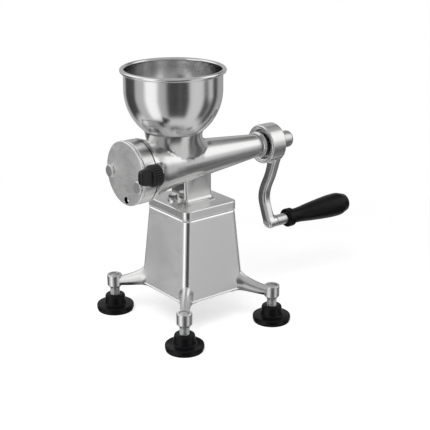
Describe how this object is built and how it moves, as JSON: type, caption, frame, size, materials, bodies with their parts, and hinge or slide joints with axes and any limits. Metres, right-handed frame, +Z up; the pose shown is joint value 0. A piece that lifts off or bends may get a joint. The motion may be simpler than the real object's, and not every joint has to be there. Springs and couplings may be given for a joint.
{
  "type": "hand crank meat grinder",
  "caption": "Tabletop hand crank grinder: round bowl hopper over a conical barrel, closed outlet head with clamp knob, bent crank with black grip, tapered pedestal on levelling feet.",
  "frame": {"origin": "on the counter, under the middle of the whole object's box", "axes": "+X along the feed screw towards the crank, +Y to the side away from the clamp knob, +Z up"},
  "size_m": [0.364, 0.192, 0.3132],
  "materials": {
    "gasket_rubber": "matt black",
    "hidden_fixings": "zinc plated",
    "bright_fixings": "bright",
    "black_plastic": "satin black",
    "grip_black": "satin black",
    "bush_brass": "plain bearing bronze",
    "bush_steel": "turned",
    "crank_metal": "satin cast",
    "crank_nut_metal": "polished",
    "blade_steel": "ground",
    "screw_steel": "tinned",
    "head_metal": "satin turned",
    "body_metal": "satin polished casting",
    "bowl_steel": "polished spun stainless sheet",
    "shell_metal": "satin",
    "cap_metal": "satin",
    "leg_metal": "satin polished casting",
    "stud_steel": "zinc plated",
    "sole_rubber": "matt black",
    "pad_black": "satin black"
  },
  "bodies": {
    "stand": {"pedestal_shell": "shell_metal", "pedestal_cap": "cap_metal", "corner_blocks": "hidden_fixings", "leg_screws": "hidden_fixings", "cap_screws": "hidden_fixings", "post_screws": "hidden_fixings", "tongue_bolt": "bright_fixings", "tongue_washer": "bright_fixings", "tongue_nut": "hidden_fixings", "grinder_body": "body_metal", "hopper_bowl": "bowl_steel", "hopper_seal": "gasket_rubber", "body_gasket": "gasket_rubber", "head_ring": "head_metal", "hole_plate": "blade_steel", "plate_pin": "bright_fixings", "cover_gasket": "gasket_rubber", "front_cover": "head_metal", "cover_screws": "bright_fixings", "clamp_stud": "bright_fixings", "inner_bush": "bush_brass", "rear_bush": "bush_steel", "shaft_seal": "gasket_rubber", "leg_front_left": "leg_metal", "leg_front_right": "leg_metal", "leg_rear_left": "leg_metal", "leg_rear_right": "leg_metal"},
    "crank": {"feed_screw": "screw_steel", "cross_knife": "blade_steel", "thrust_washer": "bright_fixings", "crank_arm": "crank_metal", "crank_washer": "bright_fixings", "crank_nut": "crank_nut_metal", "handle_pin": "crank_nut_metal", "grip_clip": "bright_fixings"},
    "grip": {"handle_grip": "grip_black", "grip_plug": "grip_black"},
    "clamp_slider": {"clamp_washer": "bright_fixings"},
    "knob": {"clamp_knob": "black_plastic", "knob_insert": "bush_brass"},
    "foot_front_left": {"foot_pad_front_left": "pad_black", "foot_sole_front_left": "sole_rubber"},
    "stud_front_left": {"foot_stud_front_left": "stud_steel"},
    "foot_front_right": {"foot_pad_front_right": "pad_black", "foot_sole_front_right": "sole_rubber"},
    "stud_front_right": {"foot_stud_front_right": "stud_steel"},
    "foot_rear_left": {"foot_pad_rear_left": "pad_black", "foot_sole_rear_left": "sole_rubber"},
    "stud_rear_left": {"foot_stud_rear_left": "stud_steel"},
    "foot_rear_right": {"foot_pad_rear_right": "pad_black", "foot_sole_rear_right": "sole_rubber"},
    "stud_rear_right": {"foot_stud_rear_right": "stud_steel"}
  },
  "joints": [
    {"name": "crank_turn", "type": "hinge", "parent": "stand", "child": "crank", "pos_m": [-0.07505, 0, 0.2], "axis": [1, 0, 0], "continuous": true},
    {"name": "grip_spin", "type": "hinge", "parent": "crank", "child": "grip", "pos_m": [0.12, 0, 0.0935], "axis": [1, 0, 0], "continuous": true},
    {"name": "clamp_slide", "type": "slide", "parent": "stand", "child": "clamp_slider", "axis": [-1, 0, 0], "range_m": [0, 0.0032]},
    {"name": "knob_turn", "type": "hinge", "parent": "clamp_slider", "child": "knob", "pos_m": [-0.17, -0.0496, 0.209], "axis": [-1, 0, 0], "range_deg": [0, 1440]},
    {"name": "foot_lift_front_left", "type": "slide", "parent": "stand", "child": "foot_front_left", "axis": [0, 0, 1], "range_m": [-0.007, 0.007]},
    {"name": "stud_turn_front_left", "type": "hinge", "parent": "foot_front_left", "child": "stud_front_left", "pos_m": [-0.14105, 0.073, 0.03], "axis": [0, 0, 1], "range_deg": [-1440, 1440]},
    {"name": "foot_lift_front_right", "type": "slide", "parent": "stand", "child": "foot_front_right", "axis": [0, 0, 1], "range_m": [-0.007, 0.007]},
    {"name": "stud_turn_front_right", "type": "hinge", "parent": "foot_front_right", "child": "stud_front_right", "pos_m": [-0.14105, -0.073, 0.03], "axis": [0, 0, 1], "range_deg": [-1440, 1440]},
    {"name": "foot_lift_rear_left", "type": "slide", "parent": "stand", "child": "foot_rear_left", "axis": [0, 0, 1], "range_m": [-0.007, 0.007]},
    {"name": "stud_turn_rear_left", "type": "hinge", "parent": "foot_rear_left", "child": "stud_rear_left", "pos_m": [-0.00905, 0.073, 0.03], "axis": [0, 0, 1], "range_deg": [-1440, 1440]},
    {"name": "foot_lift_rear_right", "type": "slide", "parent": "stand", "child": "foot_rear_right", "axis": [0, 0, 1], "range_m": [-0.007, 0.007]},
    {"name": "stud_turn_rear_right", "type": "hinge", "parent": "foot_rear_right", "child": "stud_rear_right", "pos_m": [-0.00905, -0.073, 0.03], "axis": [0, 0, 1], "range_deg": [-1440, 1440]}
  ],
  "couplings": [
    {"joint": "knob_turn", "follows": "clamp_slide", "rad_per_m": 7854},
    {"joint": "stud_turn_front_left", "follows": "foot_lift_front_left", "rad_per_m": 3590.4},
    {"joint": "stud_turn_front_right", "follows": "foot_lift_front_right", "rad_per_m": 3590.4},
    {"joint": "stud_turn_rear_left", "follows": "foot_lift_rear_left", "rad_per_m": 3590.4},
    {"joint": "stud_turn_rear_right", "follows": "foot_lift_rear_right", "rad_per_m": 3590.4}
  ]
}
